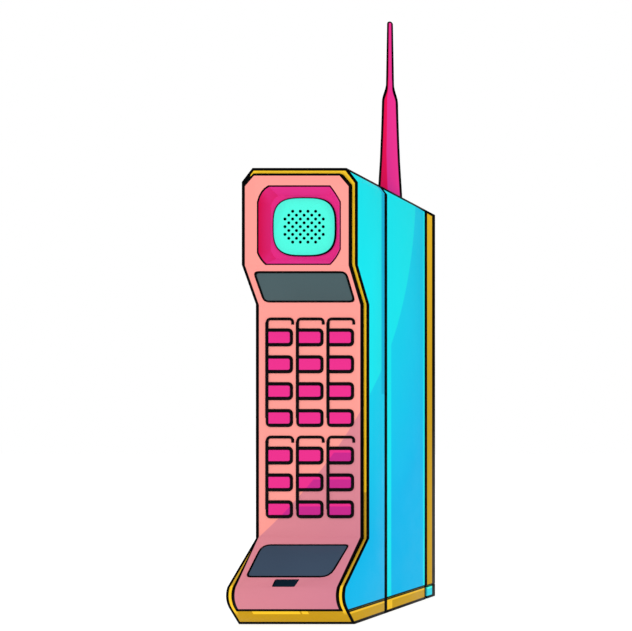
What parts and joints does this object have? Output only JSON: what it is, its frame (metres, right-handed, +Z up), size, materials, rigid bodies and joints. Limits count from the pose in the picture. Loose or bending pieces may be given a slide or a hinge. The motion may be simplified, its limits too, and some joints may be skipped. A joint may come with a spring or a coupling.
{
  "type": "early mobile brick phone",
  "caption": "Tall handheld mobile phone with an earpiece, display and keypad on a folded face, a mouthpiece lip, a screw-in whip antenna and a removable battery back.",
  "frame": {"origin": "middle of the flat base, on the surface the phone stands on", "axes": "+Z up towards the antenna, +Y from the face to the back, +X to the right as a person looks at the face"},
  "size_m": [0.0496, 0.089, 0.281],
  "materials": {
    "pink_plastic": "fine satin grain, salmon pink",
    "cyan_plastic": "fine satin grain, cyan",
    "gold_plastic": "satin gold-yellow",
    "magenta_plastic": "satin magenta",
    "magenta_rubber": "satin magenta sheath",
    "key_plastic": "satin magenta keycap",
    "mint_plastic": "satin mint",
    "black_rubber": "matt black seal",
    "black_plastic": "matt black",
    "smoked_lens": "polished smoked grey",
    "navy_lens": "polished smoked blue-grey",
    "navy_mesh": "matt dark navy",
    "circuit_board": "green board laminate",
    "steel": "bright steel",
    "brass": "bright brass",
    "cell_sleeve": "shrink sleeve, blue"
  },
  "bodies": {
    "housing": {"face_panel": "pink_plastic", "face_gasket": "black_rubber", "face_bezel": "gold_plastic", "edge_trim": "black_rubber", "front_case": "cyan_plastic", "front_bumper": "gold_plastic", "seam_gasket": "black_rubber", "rear_case": "cyan_plastic", "rear_bumper": "gold_plastic", "back_gasket": "black_rubber", "case_screw_left": "steel", "case_screw_right": "steel", "keypad_frame": "black_plastic", "key_mat": "black_rubber", "logic_board": "circuit_board", "earpiece_well": "magenta_plastic", "earpiece_grille": "mint_plastic", "earpiece_speaker": "black_plastic", "display_lens": "smoked_lens", "display_gasket": "black_rubber", "display_board": "circuit_board", "mouth_window": "navy_lens", "mouth_window_gasket": "black_rubber", "mic_slot": "navy_mesh", "microphone": "steel", "rf_board": "circuit_board", "rf_shield": "steel", "antenna_socket": "brass", "bay_contact_pos": "brass", "bay_contact_neg": "brass"},
    "antenna_collar": {"antenna_washer": "steel"},
    "antenna": {"antenna_whip": "magenta_rubber", "antenna_stud": "brass"},
    "battery_pack": {"back_cover": "gold_plastic", "battery_case": "black_plastic", "battery_cells": "cell_sleeve", "battery_contact_pos": "brass", "battery_contact_neg": "brass"},
    "latch": {"battery_latch": "mint_plastic"},
    "key_1": {"key_1": "key_plastic"},
    "key_2": {"key_2": "key_plastic"},
    "key_3": {"key_3": "key_plastic"},
    "key_4": {"key_4": "key_plastic"},
    "key_5": {"key_5": "key_plastic"},
    "key_6": {"key_6": "key_plastic"},
    "key_7": {"key_7": "key_plastic"},
    "key_8": {"key_8": "key_plastic"},
    "key_9": {"key_9": "key_plastic"},
    "key_star": {"key_star": "key_plastic"},
    "key_0": {"key_0": "key_plastic"},
    "key_hash": {"key_hash": "key_plastic"},
    "key_recall": {"key_recall": "key_plastic"},
    "key_clear": {"key_clear": "key_plastic"},
    "key_send": {"key_send": "key_plastic"},
    "key_store": {"key_store": "key_plastic"},
    "key_function": {"key_function": "key_plastic"},
    "key_end": {"key_end": "key_plastic"},
    "key_power": {"key_power": "key_plastic"},
    "key_lock": {"key_lock": "key_plastic"},
    "key_volume": {"key_volume": "key_plastic"}
  },
  "joints": [
    {"name": "antenna_lift", "type": "slide", "parent": "housing", "child": "antenna_collar", "axis": [0, 0, 1], "range_m": [0, 0.005]},
    {"name": "antenna_screw", "type": "hinge", "parent": "antenna_collar", "child": "antenna", "pos_m": [0.0131, 0.0209, 0.1945], "axis": [0, 0, 1], "range_deg": [0, 1440]},
    {"name": "battery_slide", "type": "slide", "parent": "housing", "child": "battery_pack", "axis": [0, 1, 0], "range_m": [0, 0.035]},
    {"name": "latch_press", "type": "slide", "parent": "battery_pack", "child": "latch", "axis": [0, -1, 0], "range_m": [0, 0.0015], "stiffness_N_per_m": 800},
    {"name": "key_1_press", "type": "slide", "parent": "housing", "child": "key_1", "axis": [0, 1, 0], "range_m": [0, 0.001], "stiffness_N_per_m": 600},
    {"name": "key_2_press", "type": "slide", "parent": "housing", "child": "key_2", "axis": [0, 1, 0], "range_m": [0, 0.001], "stiffness_N_per_m": 600},
    {"name": "key_3_press", "type": "slide", "parent": "housing", "child": "key_3", "axis": [0, 1, 0], "range_m": [0, 0.001], "stiffness_N_per_m": 600},
    {"name": "key_4_press", "type": "slide", "parent": "housing", "child": "key_4", "axis": [0, 1, 0], "range_m": [0, 0.001], "stiffness_N_per_m": 600},
    {"name": "key_5_press", "type": "slide", "parent": "housing", "child": "key_5", "axis": [0, 1, 0], "range_m": [0, 0.001], "stiffness_N_per_m": 600},
    {"name": "key_6_press", "type": "slide", "parent": "housing", "child": "key_6", "axis": [0, 1, 0], "range_m": [0, 0.001], "stiffness_N_per_m": 600},
    {"name": "key_7_press", "type": "slide", "parent": "housing", "child": "key_7", "axis": [0, 1, 0], "range_m": [0, 0.001], "stiffness_N_per_m": 600},
    {"name": "key_8_press", "type": "slide", "parent": "housing", "child": "key_8", "axis": [0, 1, 0], "range_m": [0, 0.001], "stiffness_N_per_m": 600},
    {"name": "key_9_press", "type": "slide", "parent": "housing", "child": "key_9", "axis": [0, 1, 0], "range_m": [0, 0.001], "stiffness_N_per_m": 600},
    {"name": "key_star_press", "type": "slide", "parent": "housing", "child": "key_star", "axis": [0, 1, 0], "range_m": [0, 0.001], "stiffness_N_per_m": 600},
    {"name": "key_0_press", "type": "slide", "parent": "housing", "child": "key_0", "axis": [0, 1, 0], "range_m": [0, 0.001], "stiffness_N_per_m": 600},
    {"name": "key_hash_press", "type": "slide", "parent": "housing", "child": "key_hash", "axis": [0, 1, 0], "range_m": [0, 0.001], "stiffness_N_per_m": 600},
    {"name": "key_recall_press", "type": "slide", "parent": "housing", "child": "key_recall", "axis": [0, 1, 0], "range_m": [0, 0.001], "stiffness_N_per_m": 600},
    {"name": "key_clear_press", "type": "slide", "parent": "housing", "child": "key_clear", "axis": [0, 1, 0], "range_m": [0, 0.001], "stiffness_N_per_m": 600},
    {"name": "key_send_press", "type": "slide", "parent": "housing", "child": "key_send", "axis": [0, 1, 0], "range_m": [0, 0.001], "stiffness_N_per_m": 600},
    {"name": "key_store_press", "type": "slide", "parent": "housing", "child": "key_store", "axis": [0, 1, 0], "range_m": [0, 0.001], "stiffness_N_per_m": 600},
    {"name": "key_function_press", "type": "slide", "parent": "housing", "child": "key_function", "axis": [0, 1, 0], "range_m": [0, 0.001], "stiffness_N_per_m": 600},
    {"name": "key_end_press", "type": "slide", "parent": "housing", "child": "key_end", "axis": [0, 1, 0], "range_m": [0, 0.001], "stiffness_N_per_m": 600},
    {"name": "key_power_press", "type": "slide", "parent": "housing", "child": "key_power", "axis": [0, 1, 0], "range_m": [0, 0.001], "stiffness_N_per_m": 600},
    {"name": "key_lock_press", "type": "slide", "parent": "housing", "child": "key_lock", "axis": [0, 1, 0], "range_m": [0, 0.001], "stiffness_N_per_m": 600},
    {"name": "key_volume_press", "type": "slide", "parent": "housing", "child": "key_volume", "axis": [0, 1, 0], "range_m": [0, 0.001], "stiffness_N_per_m": 600}
  ],
  "couplings": [
    {"joint": "antenna_screw", "follows": "antenna_lift", "rad_per_m": 5026.5}
  ]
}
